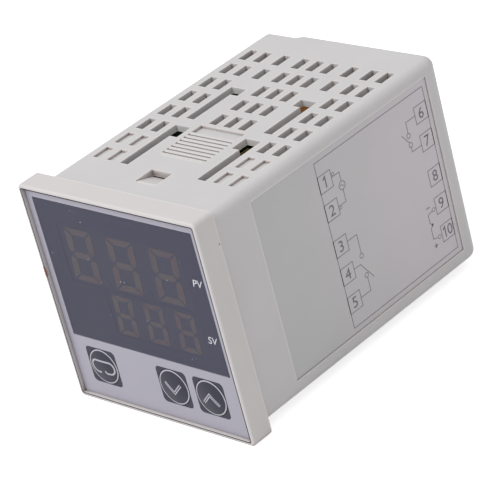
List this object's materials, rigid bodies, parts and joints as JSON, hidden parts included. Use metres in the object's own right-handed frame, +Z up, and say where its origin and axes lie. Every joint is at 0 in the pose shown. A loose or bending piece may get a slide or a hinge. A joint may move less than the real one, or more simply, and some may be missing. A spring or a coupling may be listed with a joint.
{
  "type": "pid temperature controller",
  "caption": "Square panel-mounted temperature controller with a vented grey case, a dark two-row digital display, soft keys on a printed front and rear screw terminals.",
  "frame": {"origin": "centre of the bezel's rear face, where it lies on the front of the panel", "axes": "+Y into the panel along the case, +Z up, +X to the right of someone reading the display"},
  "size_m": [0.048, 0.0716, 0.048],
  "materials": {
    "case_plastic": "fine spark-eroded moulded ABS",
    "bezel_plastic": "fine spark-eroded moulded ABS",
    "label_film": "printed polyester label",
    "overlay_film": "printed polycarbonate overlay",
    "button_plastic": "moulded",
    "switch_plastic": "moulded",
    "display_plastic": "moulded, painted face",
    "segment_resin": "cast diffusing epoxy",
    "circuit_board": "solder resist on glass epoxy",
    "black_plastic": "moulded",
    "terminal_plastic": "moulded glass-filled polyester",
    "contact_brass": "stamped",
    "plated_steel": "zinc plated",
    "ferrite": "sintered and ground",
    "yellow_tape": "polyester tape",
    "orange_epoxy": "moulded epoxy case",
    "capacitor_sleeve": "shrunk sleeve",
    "fuse_plastic": "moulded",
    "blue_epoxy": "dipped epoxy",
    "chip_epoxy": "moulded epoxy"
  },
  "bodies": {
    "case": {"case_shell": "case_plastic", "side_label": "label_film", "bezel": "bezel_plastic", "front_film": "overlay_film", "key_switches": "switch_plastic", "pv_display": "display_plastic", "pv_segments": "segment_resin", "sv_display": "display_plastic", "sv_segments": "segment_resin", "front_board": "circuit_board", "power_board": "circuit_board", "control_board": "circuit_board", "board_header_right": "black_plastic", "board_header_left": "black_plastic", "terminal_strip_right": "terminal_plastic", "terminal_strip_left": "terminal_plastic", "terminal_contacts": "contact_brass", "clamp_plates": "plated_steel", "terminal_screws": "plated_steel", "transformer_core": "ferrite", "transformer_winding": "yellow_tape", "transformer_bobbin": "black_plastic", "film_capacitor": "orange_epoxy", "input_capacitor": "capacitor_sleeve", "output_capacitor": "capacitor_sleeve", "fuse": "fuse_plastic", "varistor": "blue_epoxy", "main_relay": "black_plastic", "alarm_relay": "black_plastic", "microcontroller": "chip_epoxy", "optocouplers": "chip_epoxy", "memory_chip": "chip_epoxy"},
    "mode_press": {"mode_key": "overlay_film", "mode_button": "button_plastic"},
    "down_press": {"down_key": "overlay_film", "down_button": "button_plastic"},
    "up_press": {"up_key": "overlay_film", "up_button": "button_plastic"}
  },
  "joints": [
    {"name": "mode_travel", "type": "slide", "parent": "case", "child": "mode_press", "axis": [0, 1, 0], "range_m": [0, 0.0003], "stiffness_N_per_m": 5000},
    {"name": "down_travel", "type": "slide", "parent": "case", "child": "down_press", "axis": [0, 1, 0], "range_m": [0, 0.0003], "stiffness_N_per_m": 5000},
    {"name": "up_travel", "type": "slide", "parent": "case", "child": "up_press", "axis": [0, 1, 0], "range_m": [0, 0.0003], "stiffness_N_per_m": 5000}
  ]
}
